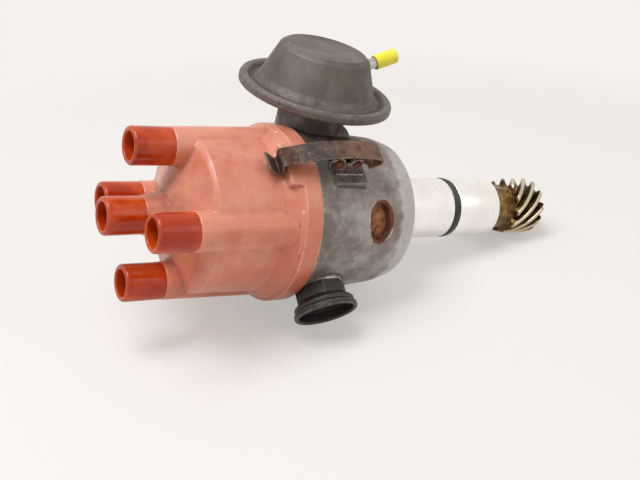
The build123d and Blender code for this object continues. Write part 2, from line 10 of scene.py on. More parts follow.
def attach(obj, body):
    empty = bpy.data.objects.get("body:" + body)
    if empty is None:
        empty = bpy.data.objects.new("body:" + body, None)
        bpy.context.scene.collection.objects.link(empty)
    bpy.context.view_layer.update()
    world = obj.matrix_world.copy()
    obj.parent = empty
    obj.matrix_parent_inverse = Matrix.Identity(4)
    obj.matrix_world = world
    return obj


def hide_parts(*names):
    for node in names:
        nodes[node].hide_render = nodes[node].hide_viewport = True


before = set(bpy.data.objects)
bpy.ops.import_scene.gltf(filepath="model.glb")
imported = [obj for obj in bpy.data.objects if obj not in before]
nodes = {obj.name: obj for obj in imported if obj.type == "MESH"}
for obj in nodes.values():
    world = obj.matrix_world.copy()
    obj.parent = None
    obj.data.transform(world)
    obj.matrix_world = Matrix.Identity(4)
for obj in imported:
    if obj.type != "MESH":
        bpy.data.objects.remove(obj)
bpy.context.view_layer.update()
scene = bpy.context.scene
mm = 0.001
xAxis = Vector((1, 0, 0))
even = (1, 1, 1)
mergeGap = 2e-6
samePoint = 1e-7
creaseAngle = 35
# Shared by pieces and finishes: the table's upward normal, the can's axis in mm, the ways to the clip pads
tableNormal = (-0.217, 0.115, 0.969)
tableDown = tuple(-c for c in tableNormal)
canAxis = (-31.2, 22.5, 0)
clipWays = [(0, -0.4977, 0.8673), (0, 0.4977, -0.8673)]
# Where each set of clouds starts in its noise
seeds = {"rough": 4.0, "layer": 2.0, "layerStep": 3.1, "bump": 9.0}
print("frame loaded:", len(nodes), "nodes")


def linear(hexColour):
    parts = [int(hexColour[i:i + 2], 16) / 255 for i in (1, 3, 5)]
    return [p / 12.92 if p <= 0.04045 else ((p + 0.055) / 1.055) ** 2.4 for p in parts] + [1.0]


def addNode(tree, kind, settings=None, links=None, stops=None):
    node = tree.nodes.new(kind)
    for name, value in (settings or {}).items():
        setattr(node, name, value)
    for name, value in (links or {}).items():
        if isinstance(value, bpy.types.NodeSocket):
            tree.links.new(value, node.inputs[name])
        else:
            node.inputs[name].default_value = value
    if stops:
        ramp = node.color_ramp.elements
        while len(ramp) < len(stops):
            ramp.new(0.5)
        for element, (place, colour) in zip(ramp, stops):
            element.position = place
            element.color = linear(colour)
    return node


# The emptied node tree of a material or world
def emptyTree(owner):
    owner.use_nodes = True
    owner.node_tree.nodes.clear()
    return owner.node_tree


# A cloudy 0 to 1 mask, with features of a real size in millimetres
def cloud(tree, place, size, low, high, detail, stretch=even, seed=0.0):
    spread = addNode(tree, "ShaderNodeMapping", {}, {
        "Vector": place, "Location": (seed, seed * 0.7, seed * 0.3),
        "Scale": [1000 / size * s for s in stretch]})
    noise = addNode(tree, "ShaderNodeTexNoise", {}, {
        "Vector": spread.outputs[0], "Scale": 1.0, "Detail": detail, "Roughness": 0.6})
    return addNode(tree, "ShaderNodeMapRange", {"interpolation_type": "SMOOTHSTEP"}, {
        "Value": noise.outputs[0], "From Min": low, "From Max": high}).outputs[0]


# Where on the piece a layer lies: round a point, round a line or oval, or along a direction
def zone(tree, place, area):
    if "around" in area:
        value = addNode(tree, "ShaderNodeVectorMath", {"operation": "DISTANCE"}, {
            0: place, 1: [c * mm for c in area["around"]]}).outputs[1]
    elif "radius" in area:
        middle = [c * mm for c in area.get("centre", (0, 0, 0))]
        off = addNode(tree, "ShaderNodeVectorMath", {"operation": "SUBTRACT"}, {0: place, 1: middle})
        flat = addNode(tree, "ShaderNodeVectorMath", {"operation": "MULTIPLY"}, {
            0: off.outputs[0], 1: area["radius"]})
        value = addNode(tree, "ShaderNodeVectorMath", {"operation": "LENGTH"}, {
            0: flat.outputs[0]}).outputs[1]
    else:
        value = addNode(tree, "ShaderNodeVectorMath", {"operation": "DOT_PRODUCT"}, {
            0: place, 1: area["along"]}).outputs[1]
    if "ragged" in area:
        waver = cloud(tree, place, area["ragged"][0], 0.3, 0.7, 3.0)
        value = addNode(tree, "ShaderNodeMath", {"operation": "MULTIPLY_ADD"}, {
            0: waver, 1: area["ragged"][1] * mm, 2: value}).outputs[0]
    return addNode(tree, "ShaderNodeMapRange", {"interpolation_type": "SMOOTHSTEP"}, {
        "Value": value, "From Min": area["start"] * mm, "From Max": area["end"] * mm}).outputs[0]


# Base tones, then layers of wear, dirt, painted light and painted shade, then bumps, on Object coordinates
def surface(name, look):
    material = bpy.data.materials.new(name)
    tree = emptyTree(material)
    place = addNode(tree, "ShaderNodeTexCoord").outputs["Object"]
    base = cloud(tree, place, look["size"], 0.25, 0.75, 6.0, look.get("stretch", even))
    colour = addNode(tree, "ShaderNodeValToRGB", {}, {0: base}, look["tones"]).outputs[0]
    rough = addNode(tree, "ShaderNodeMapRange", {}, {
        "Value": cloud(tree, place, look["size"] * 0.6, 0.3, 0.7, 3.0, seed=seeds["rough"]),
        "To Min": look["rough"][0], "To Max": look["rough"][1]}).outputs[0]
    for number, layer in enumerate(look.get("layers", [])):
        amount = cloud(tree, place, layer["size"], *layer["cover"], layer.get("detail", 4.0),
                       layer.get("stretch", even), seeds["layer"] + number * seeds["layerStep"])
        if "edges" in layer:
            mark, low, high = layer["edges"]
            marked = addNode(tree, "ShaderNodeAttribute", {"attribute_name": mark}).outputs["Fac"]
            marked = addNode(tree, "ShaderNodeMapRange", {"interpolation_type": "SMOOTHSTEP"}, {
                "Value": marked, "From Min": low, "From Max": high}).outputs[0]
            amount = addNode(tree, "ShaderNodeMath", {"operation": "MULTIPLY"}, {
                0: amount, 1: marked}).outputs[0]
        for area in layer.get("zones", []):
            amount = addNode(tree, "ShaderNodeMath", {"operation": "MULTIPLY"}, {
                0: amount, 1: zone(tree, place, area)}).outputs[0]
        amount = addNode(tree, "ShaderNodeMath", {"operation": "MULTIPLY"}, {
            0: amount, 1: layer.get("strength", 1.0)}).outputs[0]
        colour = addNode(tree, "ShaderNodeMix", {"data_type": "RGBA"}, {
            0: amount, 6: colour, 7: linear(layer["colour"])}).outputs[2]
        if "rough" in layer:
            rough = addNode(tree, "ShaderNodeMix", {}, {0: amount, 2: rough, 3: layer["rough"]}).outputs[0]
    shader = addNode(tree, "ShaderNodeBsdfPrincipled", {}, {"Base Color": colour, "Roughness": rough})
    for socket, value in look.get("shader", {}).items():
        shader.inputs[socket].default_value = value
    normal = None
    for number, bump in enumerate(look["bumps"]):
        grain = cloud(tree, place, bump["size"], 0.2, 0.8, bump.get("detail", 3.0),
                      bump.get("stretch", even), seeds["bump"] + number)
        links = {"Height": grain, "Distance": bump["height"] * mm, "Strength": 1.0}
        if normal:
            links["Normal"] = normal
        normal = addNode(tree, "ShaderNodeBump", {"invert": bump.get("pits", False)}, links).outputs[0]
    tree.links.new(normal, shader.inputs["Normal"])
    addNode(tree, "ShaderNodeOutputMaterial", {}, {"Surface": shader.outputs[0]})
    return material


# Sizes of tones, wear and grain are in mm. Grain, tool marks and felt too fine for the render are drawn
# coarser than the real ones, at 0.4 to 1 mm, so that they show
finishes = {
    # sun-faded moulded phenolic: chalky salmon skin over brick red, a dull sheen, painted shade in the
    # creases and on the underside, painted highlights on the proud edges and the top
    "mouldedPhenolicFaded": {
        "size": 26, "rough": (0.22, 0.36),
        "tones": [(0.2, "#CC7258"), (0.5, "#D57F66"), (0.8, "#DD8C73")],
        "layers": [
            {"colour": "#E5A892", "size": 12, "cover": (0.5, 0.75), "strength": 0.4, "rough": 0.38},
            {"colour": "#C07862", "size": 1.4, "cover": (0.4, 0.7), "strength": 0.3,
             "stretch": (1, 0.15, 0.15), "detail": 5},
            {"colour": "#AE5C40", "size": 3.5, "cover": (0.56, 0.72), "strength": 0.3, "detail": 6},
            {"colour": "#8E4A36", "size": 1.6, "cover": (0.64, 0.75), "strength": 0.3, "detail": 6},
            {"colour": "#E2B7A4", "size": 0.9, "cover": (0.67, 0.76), "strength": 0.4, "detail": 2},
            # painted highlight: paler on the proud edges of the body
            {"colour": "#EDB7A2", "size": 4, "cover": (0.3, 0.6), "strength": 0.55,
             "edges": ("proud", 0.14, 0.45), "zones": [{"along": (1, 0, 0), "start": -98.4, "end": -97.0}]},
            # painted shade: darker in the creases
            {"colour": "#7C3926", "size": 4, "cover": (0.25, 0.65), "strength": 0.65, "rough": 0.6,
             "edges": ("sunk", 0.05, 0.4)},
            # painted highlight: paler towards the top, which faces the lamps
            {"colour": "#E8AE95", "size": 7, "cover": (0.2, 0.7), "strength": 0.34, "rough": 0.3,
             "zones": [{"along": tableNormal, "start": 6.0, "end": 30.0, "ragged": (8, 6)}]},
            # painted shade: darker towards the underside, which faces the table
            {"colour": "#984F39", "size": 8, "cover": (0.1, 0.55), "strength": 0.5, "rough": 0.45,
             "zones": [{"along": tableDown, "start": -6.0, "end": 18.0, "ragged": (8, 6)}]},
            # dirt and painted shadow round the clip's hook
            {"colour": "#7E4434", "size": 5, "cover": (0.2, 0.6), "strength": 0.6, "rough": 0.55,
             "zones": [{"around": (-66.0, -16.5, 29.0), "start": 11.0, "end": 2.5, "ragged": (4, 3)}]},
            {"colour": "#9A5A44", "size": 6, "cover": (0.3, 0.6), "strength": 0.55, "rough": 0.5,
             "zones": [{"around": (-98.0, 0.0, 0.0), "start": 24.0, "end": 12.0, "ragged": (6, 5)}]}],
        "bumps": [{"size": 14, "height": 0.12}, {"size": 1.2, "height": 0.015}],
        "shader": {"IOR": 1.5}},
    # the same resin where the lead sleeves kept the sun off: clean, deep and glossy
    "mouldedPhenolicClean": {
        "size": 12, "rough": (0.16, 0.24),
        "tones": [(0.2, "#A83008"), (0.6, "#BA3E0E"), (0.9, "#C84E1A")],
        "layers": [
            {"colour": "#C0603E", "size": 1.2, "cover": (0.64, 0.74), "strength": 0.25, "rough": 0.4},
            {"colour": "#CC6A48", "size": 2, "cover": (0.3, 0.6), "strength": 0.6,
             "edges": ("proud", 0.25, 0.8)}],
        "bumps": [{"size": 6, "height": 0.03}, {"size": 0.8, "height": 0.004}],
        "shader": {"IOR": 1.5, "Specular IOR Level": 0.4}},
    # die-cast aluminium, weathered: mottled grey with paler rubbed edges and green-black dirt by the joint
    "castAluminiumWeathered": {
        "size": 9, "rough": (0.4, 0.56),
        "tones": [(0.15, "#7F7671"), (0.5, "#928A85"), (0.85, "#A59F9B")],
        "layers": [
            {"colour": "#BDBBB9", "size": 2.4, "cover": (0.56, 0.72), "strength": 0.5, "detail": 7},
            {"colour": "#6A645F", "size": 3.2, "cover": (0.56, 0.7), "strength": 0.5, "detail": 6},
            {"colour": "#D3D1CE", "size": 2, "cover": (0.3, 0.6), "strength": 0.8, "rough": 0.34,
             "edges": ("proud", 0.1, 0.4)},
            {"colour": "#4C463F", "size": 2, "cover": (0.2, 0.5), "strength": 0.8, "rough": 0.7,
             "edges": ("sunk", 0.06, 0.3)},
            {"colour": "#6B6860", "size": 5, "cover": (0.3, 0.6), "strength": 0.75, "rough": 0.65,
             "zones": [{"along": (-1, 0, 0), "start": 42.0, "end": 47.0, "ragged": (5, 4)}]},
            # painted shade: darker pads under the clips' straps
            *[{"colour": "#5D534D", "size": 5, "cover": (0.1, 0.4), "strength": 0.7,
               "zones": [{"along": way, "start": 33.7, "end": 34.1},
                         {"along": (1, 0, 0), "start": -44.0, "end": -42.6}]} for way in clipWays],
            # painted highlight: paler band round the chamfer at the seat end
            {"colour": "#C4C3C2", "size": 4, "cover": (0.15, 0.5), "strength": 0.8, "rough": 0.36,
             "zones": [{"along": (1, 0, 0), "start": -9.8, "end": -7.4, "ragged": (5, 2)}]},
            # dirt and painted shade: darker over the neck
            {"colour": "#574B43", "size": 5, "cover": (0.15, 0.6), "strength": 0.9, "rough": 0.55,
             "zones": [{"along": (0, 0, 1), "start": 31.0, "end": 36.5, "ragged": (5, 3)}]},
            {"colour": "#74432A", "size": 3, "cover": (0.0, 0.2), "strength": 0.95, "rough": 0.85,
             "zones": [{"radius": (1.45, 1.0, 1.0), "centre": (-20.2, -29.2, 10.4), "start": 9.9, "end": 8.9,
                        "ragged": (2, 0.7)}]}],
        "bumps": [{"size": 3, "height": 0.07, "detail": 5}, {"size": 0.6, "height": 0.03, "detail": 5}],
        "shader": {"Metallic": 0.5}},
    # turned aluminium shank: nearly white and smooth, with painted shade as a thin dark line at its end
    "turnedAluminium": {
        "size": 14, "rough": (0.26, 0.34),
        "tones": [(0.2, "#F1EEE9"), (0.8, "#FAF9F6")],
        "layers": [
            {"colour": "#3C352C", "size": 3, "cover": (0.1, 0.4), "strength": 0.85, "rough": 0.6,
             "zones": [{"along": (1, 0, 0), "start": 62.2, "end": 62.7}]}],
        "bumps": [{"size": 0.4, "height": 0.0015, "stretch": (1, 0.02, 0.02), "detail": 1}],
        "shader": {"Metallic": 0.9}},
    # hobbed steel gear: brown and oily, darker in the tooth gaps, tips rubbed bright by the mating gear
    "hobbedSteelOiled": {
        "size": 5, "rough": (0.25, 0.42),
        "tones": [(0.2, "#5C4422"), (0.55, "#7E6236"), (0.85, "#967A4A")],
        "layers": [
            {"colour": "#20160C", "size": 5, "cover": (0.35, 0.6), "strength": 0.9,
             "zones": [{"along": (1, 0, 0), "start": 74.0, "end": 75.5},
                       {"radius": (0, 1, 1), "start": 12.6, "end": 11.6}]},
            {"colour": "#8A4F28", "size": 3, "cover": (0.58, 0.68), "strength": 0.6, "rough": 0.7},
            {"colour": "#C8BCA4", "size": 3, "cover": (0.15, 0.4), "rough": 0.26,
             "zones": [{"radius": (0, 1, 1), "start": 12.7, "end": 13.05, "ragged": (3, 0.25)}]}],
        "bumps": [{"size": 1.5, "height": 0.03}],
        "shader": {"Metallic": 0.8}},
    # pressed steel can, old dark finish gone matt: streaks down its sides and pale salt specks
    "pressedSteelDull": {
        "size": 12, "rough": (0.46, 0.58), "stretch": (1, 1, 0.5),
        "tones": [(0.2, "#58504A"), (0.5, "#615952"), (0.85, "#6B635C")],
        "layers": [
            {"colour": "#66564A", "size": 7, "cover": (0.5, 0.72), "strength": 0.4},
            {"colour": "#8B857F", "size": 1.0, "cover": (0.58, 0.75), "strength": 0.4,
             "stretch": (1, 1, 0.12), "detail": 5},
            {"colour": "#A5A19C", "size": 0.7, "cover": (0.68, 0.75), "strength": 0.6, "detail": 2},
            {"colour": "#4A433E", "size": 1.8, "cover": (0.6, 0.72), "strength": 0.4},
            # dirt and painted shade: darker in the groove inside the rim
            {"colour": "#332C28", "size": 2, "cover": (0.1, 0.4), "strength": 0.85, "zones": [
                {"radius": (1, 1, 0), "centre": canAxis, "start": 29.2, "end": 28.7, "ragged": (3, 0.3)},
                {"radius": (1, 1, 0), "centre": canAxis, "start": 26.0, "end": 27.2, "ragged": (3, 0.6)},
                {"along": (0, 0, 1), "start": 47.6, "end": 46.8}]},
            {"colour": "#8D8781", "size": 2, "cover": (0.35, 0.65), "strength": 0.5,
             "edges": ("proud", 0.2, 0.6)},
            {"colour": "#8F8B86", "size": 2, "cover": (0.35, 0.6), "strength": 0.4,
             "zones": [{"along": (0, 0, 1), "start": 50.5, "end": 47.5, "ragged": (3, 3)},
                       {"along": (0, 0, 1), "start": 46.6, "end": 47.4}]}],
        "bumps": [{"size": 0.9, "height": 0.02}, {"size": 0.4, "height": 0.012}],
        "shader": {"Metallic": 0.3}},
    # spring steel strap: near-black scale towards the cap, brown rust over the far bend
    "springSteelRusted": {
        "size": 4, "rough": (0.36, 0.55),
        "tones": [(0.15, "#362B27"), (0.5, "#4B3C36"), (0.85, "#5E4E47")],
        "layers": [
            {"colour": "#7F5A48", "size": 4, "cover": (0.3, 0.6), "strength": 0.85, "rough": 0.6,
             "zones": [{"along": (1, 0, 0), "start": -46.0, "end": -34.0, "ragged": (4, 6)}]},
            {"colour": "#4E2A1C", "size": 3, "cover": (0.3, 0.6), "strength": 0.8, "rough": 0.85,
             "zones": [{"along": (-1, 0, 0), "start": 60.0, "end": 64.0, "ragged": (3, 3)}]},
            {"colour": "#8A5A3A", "size": 2.4, "cover": (0.6, 0.7), "strength": 0.5, "rough": 0.85},
            {"colour": "#8C8580", "size": 1.6, "cover": (0.6, 0.72), "strength": 0.5, "rough": 0.35},
            {"colour": "#9C8C7C", "size": 1.5, "cover": (0.35, 0.6), "strength": 0.6,
             "edges": ("proud", 0.5, 1.3)},
            {"colour": "#2E2623", "size": 1.2, "cover": (0.6, 0.72), "strength": 0.6}],
        "bumps": [{"size": 0.8, "height": 0.03, "detail": 5}],
        "shader": {"Metallic": 0.3}},
    # bracket plate: grey steel with worn silvery edges and patches of brown rust
    "stampedSteelWorn": {
        "size": 3, "rough": (0.36, 0.5),
        "tones": [(0.15, "#625A55"), (0.5, "#766E69"), (0.85, "#9C9791")],
        "layers": [
            {"colour": "#6B3A1E", "size": 2, "cover": (0.5, 0.62), "strength": 0.8, "rough": 0.85},
            {"colour": "#CFCAC0", "size": 1.6, "cover": (0.4, 0.6), "strength": 0.75, "rough": 0.3,
             "edges": ("proud", 0.5, 1.2)}],
        "bumps": [{"size": 0.7, "height": 0.03, "detail": 5}],
        "shader": {"Metallic": 0.5}},
    # rivet and pin heads eaten by deep brown rust
    "steelDeepRust": {
        "size": 2, "rough": (0.75, 0.92),
        "tones": [(0.15, "#33170A"), (0.5, "#552610"), (0.85, "#7A3F1C")],
        "layers": [{"colour": "#2E140A", "size": 1.2, "cover": (0.52, 0.66), "strength": 0.8}],
        "bumps": [{"size": 0.7, "height": 0.08, "detail": 5}]},
    # glass-filled nylon moulding: black, slightly dusty, with a painted sheen on the rims
    "mouldedNylonBlack": {
        "size": 10, "rough": (0.4, 0.55),
        "tones": [(0.2, "#161311"), (0.8, "#201C1A")],
        "layers": [
            {"colour": "#4E4843", "size": 5, "cover": (0.52, 0.72), "strength": 0.4, "rough": 0.6},
            {"colour": "#7A736C", "size": 2, "cover": (0.3, 0.6), "strength": 0.6,
             "edges": ("proud", 0.3, 0.9)},
            {"colour": "#6A645E", "size": 0.9, "cover": (0.66, 0.76), "strength": 0.3, "detail": 2}],
        "bumps": [{"size": 0.8, "height": 0.015}]},
    # moulded seal ring: soft charcoal with a faint oily shine
    "mouldedRubberCharcoal": {
        "size": 4, "rough": (0.4, 0.55), "tones": [(0.2, "#262424"), (0.8, "#3A3736")],
        "bumps": [{"size": 1.0, "height": 0.01}]},
    # dipped vinyl cap on the nipple: clean lemon yellow, soft gloss
    "dippedVinylYellow": {
        "size": 5, "rough": (0.35, 0.48), "tones": [(0.2, "#F2E83C"), (0.8, "#FAF258")],
        "layers": [{"colour": "#DDD244", "size": 2.5, "cover": (0.6, 0.75), "strength": 0.4}],
        "bumps": [{"size": 1.5, "height": 0.02}],
        "shader": {"Subsurface Weight": 0.1, "Subsurface Scale": 0.002}},
    # zinc plate on small steel parts: pale grey, a little cloudy
    "platedSteelZinc": {
        "size": 4, "rough": (0.28, 0.42), "tones": [(0.2, "#A8A8A4"), (0.8, "#C8C7C2")],
        "layers": [{"colour": "#8A8780", "size": 2, "cover": (0.58, 0.72), "strength": 0.5}],
        "bumps": [{"size": 0.8, "height": 0.01}], "shader": {"Metallic": 1.0}},
    # ground shaft steel: bright with a thin film of old oil
    "groundSteelOiled": {
        "size": 6, "rough": (0.18, 0.3), "stretch": (2, 0.6, 0.6),
        "tones": [(0.2, "#9C958A"), (0.8, "#BDB8AE")],
        "layers": [{"colour": "#6E5B40", "size": 5, "cover": (0.5, 0.7), "strength": 0.6}],
        "bumps": [{"size": 0.5, "height": 0.004, "stretch": (1, 0.02, 0.02)}], "shader": {"Metallic": 1.0}},
    # stamped inner plates and weights: dull steel with handling marks
    "stampedSteelBare": {
        "size": 5, "rough": (0.35, 0.5), "tones": [(0.2, "#7C7873"), (0.8, "#9C9893")],
        "layers": [{"colour": "#6A5A4A", "size": 4, "cover": (0.55, 0.72), "strength": 0.5}],
        "bumps": [{"size": 0.8, "height": 0.01}], "shader": {"Metallic": 0.9}},
    # rusted plate seen through the oval window: brown scale and tan dust, the tan drawn paler as painted
    # light in the shade behind the window
    "stampedSteelRusted": {
        "size": 5, "rough": (0.75, 0.9), "tones": [(0.2, "#97603F"), (0.5, "#B57D58"), (0.85, "#C99A74")],
        "layers": [{"colour": "#6A3119", "size": 3.5, "cover": (0.45, 0.62), "strength": 0.8},
                   {"colour": "#B5A06A", "size": 2, "cover": (0.6, 0.72), "strength": 0.5}],
        "bumps": [{"size": 1.0, "height": 0.05, "detail": 5}]},
    # drawn spring wire, phosphated: blue-black and smooth
    "drawnWirePhosphated": {
        "size": 3, "rough": (0.3, 0.42), "tones": [(0.2, "#4A4A4C"), (0.8, "#6C6C6E")],
        "bumps": [{"size": 0.6, "height": 0.004}], "shader": {"Metallic": 0.9}},
    # sintered bronze bushes: warm and finely porous
    "sinteredBronze": {
        "size": 2, "rough": (0.4, 0.55), "tones": [(0.2, "#8A6436"), (0.8, "#B48A50")],
        "bumps": [{"size": 0.5, "height": 0.02, "pits": True}], "shader": {"Metallic": 1.0}},
    # turned brass contacts: yellow metal, dulled by arcing
    "turnedBrass": {
        "size": 3, "rough": (0.25, 0.4), "tones": [(0.2, "#A88444"), (0.8, "#CBA860")],
        "layers": [{"colour": "#6E6A5A", "size": 2, "cover": (0.55, 0.72), "strength": 0.5}],
        "bumps": [{"size": 0.6, "height": 0.004}], "shader": {"Metallic": 1.0}},
    # moulded dark brown resin of rotor, sensor and dust shield: fine grain, low gloss
    "mouldedResinBrown": {
        "size": 6, "rough": (0.35, 0.5), "tones": [(0.2, "#3A2018"), (0.8, "#4E2C20")],
        "bumps": [{"size": 0.9, "height": 0.01}]},
    # pressed fibre and felt: fuzzy, matt, uneven
    "pressedFibre": {
        "size": 2, "rough": (0.85, 0.95), "tones": [(0.2, "#6E5A40"), (0.8, "#8E7856")],
        "bumps": [{"size": 0.6, "height": 0.05, "detail": 5}], "shader": {"Sheen Weight": 0.3}},
    # pressed carbon brush and pressed magnet: dark grey with a dull glint
    "pressedCarbon": {
        "size": 2, "rough": (0.4, 0.5), "tones": [(0.2, "#242426"), (0.8, "#38383A")],
        "bumps": [{"size": 0.5, "height": 0.01}]},
    # calendered rubber diaphragm: matt black with fabric-fine grain
    "calenderedRubberBlack": {
        "size": 6, "rough": (0.6, 0.75), "tones": [(0.2, "#1C1B1B"), (0.8, "#2A2828")],
        "bumps": [{"size": 0.6, "height": 0.02}]},
}
materials = {name: surface(name, look) for name, look in finishes.items()}
print("materials made:", len(materials))

# The finish of every CAD node; some nodes are replaced by a finer piece later on
nodeFinish = {
    "mouldedPhenolicFaded": ["distributor_cap"],
    "castAluminiumWeathered": ["housing"],
    "mouldedRubberCharcoal": ["o_ring"],
    "sinteredBronze": ["upper_bush", "lower_bush"],
    "pressedFibre": ["upper_washer", "lower_washer", "felt_wick"],
    "groundSteelOiled": ["drive_shaft", "gear_pin", "weight_pins", "cam_sleeve", "vacuum_pin"],
    "hobbedSteelOiled": ["drive_gear"],
    "stampedSteelBare": ["advance_carrier", "weight_a", "weight_b", "spring_posts", "yoke_posts",
                         "pickup_plate", "pickup_ring", "trigger_wheel", "pull_rod", "diaphragm_cup"],
    "stampedSteelRusted": ["base_plate"],
    "drawnWirePhosphated": ["advance_spring_a", "advance_spring_b", "brush_spring", "vacuum_spring",
                            "wheel_circlip"],
    "mouldedResinBrown": ["rotor_arm", "hall_sensor", "dust_shield"],
    "pressedCarbon": ["hall_magnet", "carbon_brush"],
    "turnedBrass": ["rotor_blade", "cap_electrodes", "centre_electrode", "socket_terminals"],
    "pressedSteelDull": ["can_plate", "can_dome"],
    "platedSteelZinc": ["can_screws", "vacuum_nipple"],
    "dippedVinylYellow": ["nipple_cover"],
    "calenderedRubberBlack": ["diaphragm"],
    "springSteelRusted": ["clip_near", "clip_far"],
    "stampedSteelWorn": ["clip_bracket_near", "clip_bracket_far"],
    "steelDeepRust": ["clip_pins_near", "clip_pins_far", "bracket_rivets_near", "bracket_rivets_far"],
    "mouldedNylonBlack": ["connector_socket"],
}
for finish, names in nodeFinish.items():
    for name in names:
        nodes[name].data.materials.clear()
        nodes[name].data.materials.append(materials[finish])
unpainted = sorted(set(nodes) - {name for names in nodeFinish.values() for name in names})
print("nodes with no finish:", unpainted)


def finishPiece(piece, body, finish, slot, *stands):
    piece.data.materials.clear()
    piece.data.materials.append(materials[finish])
    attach(piece, body)
    if stands:
        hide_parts(*stands)
    markEdges(piece)
    piece.data.calc_loop_triangles()
    print(piece.name, "triangles", len(piece.data.loop_triangles))
    return piece


def newObject(name, data):
    made = bpy.data.objects.new(name, data)
    scene.collection.objects.link(made)
    return made


# Runs the modifiers and keeps the result as a plain mesh
def settle(piece):
    bpy.context.view_layer.update()
    graph = bpy.context.evaluated_depsgraph_get()
    mesh = bpy.data.meshes.new_from_object(piece.evaluated_get(graph))
    piece.modifiers.clear()
    piece.data = mesh
    return piece


def shadeSmooth(piece, angle=None):
    piece.data.shade_smooth()
    if angle:
        piece.data.set_sharp_from_angle(angle=math.radians(angle))
    return piece


# Notes how sharply each point of a piece bends, in 1/mm: "proud" on outer edges, "sunk" in corners
def markEdges(piece, passes=2):
    mesh = piece.data
    count = len(mesh.vertices)
    points, normals = numpy.empty(count * 3), numpy.empty(count * 3)
    ends = numpy.empty(len(mesh.edges) * 2, dtype=int)
    mesh.vertices.foreach_get("co", points)
    mesh.vertices.foreach_get("normal", normals)
    mesh.edges.foreach_get("vertices", ends)
    points, normals, ends = points.reshape(-1, 3) / mm, normals.reshape(-1, 3), ends.reshape(-1, 2)
    one, two = ends[:, 0], ends[:, 1]
    gap = points[two] - points[one]
    bend = ((normals[two] - normals[one]) * gap).sum(1) / numpy.maximum((gap * gap).sum(1), 1e-6)
    shared = numpy.maximum(numpy.bincount(one, minlength=count) + numpy.bincount(two, minlength=count), 1)
    level = (numpy.bincount(one, bend, count) + numpy.bincount(two, bend, count)) / shared
    for _ in range(passes):
        around = numpy.bincount(one, level[two], count) + numpy.bincount(two, level[one], count)
        level = 0.5 * level + 0.5 * around / shared
    for name, values in (("proud", level), ("sunk", -level)):
        marks = mesh.attributes.new(name, "FLOAT", "POINT").data
        marks.foreach_set("value", numpy.clip(values, 0, 2).astype(numpy.float32))


# A merged copy of a CAD node's mesh, cut across the shaft and closed there if asked
def copiedMesh(nodeName, cutX=None, keepBelow=True):
    work = bmesh.new()
    work.from_mesh(nodes[nodeName].data)
    bmesh.ops.remove_doubles(work, verts=work.verts, dist=mergeGap)
    if cutX is not None:
        bmesh.ops.bisect_plane(
            work, geom=work.verts[:] + work.edges[:] + work.faces[:], plane_co=(cutX, 0, 0),
            plane_no=(1, 0, 0) if keepBelow else (-1, 0, 0), clear_outer=True)
        rim = [e for e in work.edges if e.is_boundary]
        bmesh.ops.triangle_fill(work, edges=rim, use_beauty=True, use_dissolve=False)
    loose = sum(1 for e in work.edges if not e.is_manifold)
    if loose:
        print("open edges in", nodeName, loose)
    return work


# Upright solid over a plan of (x, y) corners, added to a mesh in work
def addPrism(work, plan, low, high):
    foot, head = ([work.verts.new((x * mm, y * mm, z * mm)) for x, y in plan] for z in (low, high))
    work.faces.new(reversed(foot))
    work.faces.new(head)
    for i in range(len(plan)):
        j = (i + 1) % len(plan)
        work.faces.new((foot[i], foot[j], head[j], head[i]))


# Voxel skin of a closed shape, relaxed so that its corners come out cast, moulded or worn, then thinned
def softened(work, name, voxel, passes, keep):
    mesh = bpy.data.meshes.new(name)
    work.to_mesh(mesh)
    work.free()
    piece = newObject(name, mesh)
    remesh = piece.modifiers.new("skin", "REMESH")
    remesh.mode = "VOXEL"
    remesh.voxel_size = voxel * mm
    relax = piece.modifiers.new("relax", "SMOOTH")
    relax.factor = 0.5
    relax.iterations = passes
    if keep < 1:
        thin = piece.modifiers.new("thin", "DECIMATE")
        thin.ratio = keep
    settle(piece)
    return shadeSmooth(piece)


# Corner points (along, out, corner radius) to a smooth outline
def rounded(corners, steps=5):
    points = []
    count = len(corners)
    for i, (a, r, fillet) in enumerate(corners):
        here = Vector((a, r))
        if not fillet:
            points.append(here)
            continue
        before = (Vector(corners[i - 1][:2]) - here).normalized()
        after = (Vector(corners[(i + 1) % count][:2]) - here).normalized()
        half = math.acos(max(-1, min(1, before.dot(after)))) / 2
        reach = fillet / math.tan(half)
        centre = here + (before + after).normalized() * (fillet / math.sin(half))
        start, end = here + before * reach - centre, here + after * reach - centre
        turn = start.angle_signed(end)
        points += [centre + Matrix.Rotation(-turn * k / steps, 2) @ start for k in range(steps + 1)]
    return points


# Solid of revolution of an outline of (along, out) points, in mm, about a line
def turnedShape(name, outline, origin=(0, 0, 0), axis=xAxis, segments=128):
    axis = Vector(axis).normalized()
    side = axis.orthogonal().normalized()
    work = bmesh.new()
    rings = []
    for k in range(segments):
        out = Matrix.Rotation(math.tau * k / segments, 3, axis) @ side
        rings.append([work.verts.new((Vector(origin) + axis * p[0] + out * p[1]) * mm) for p in outline])
    for k in range(segments):
        one, two = rings[k], rings[(k + 1) % segments]
        for i in range(len(outline)):
            j = (i + 1) % len(outline)
            if outline[i][1] > samePoint or outline[j][1] > samePoint:
                work.faces.new((one[i], one[j], two[j], two[i]))
    bmesh.ops.remove_doubles(work, verts=work.verts, dist=samePoint)
    bmesh.ops.recalc_face_normals(work, faces=work.faces)
    mesh = bpy.data.meshes.new(name)
    work.to_mesh(mesh)
    work.free()
    return shadeSmooth(newObject(name, mesh), creaseAngle)


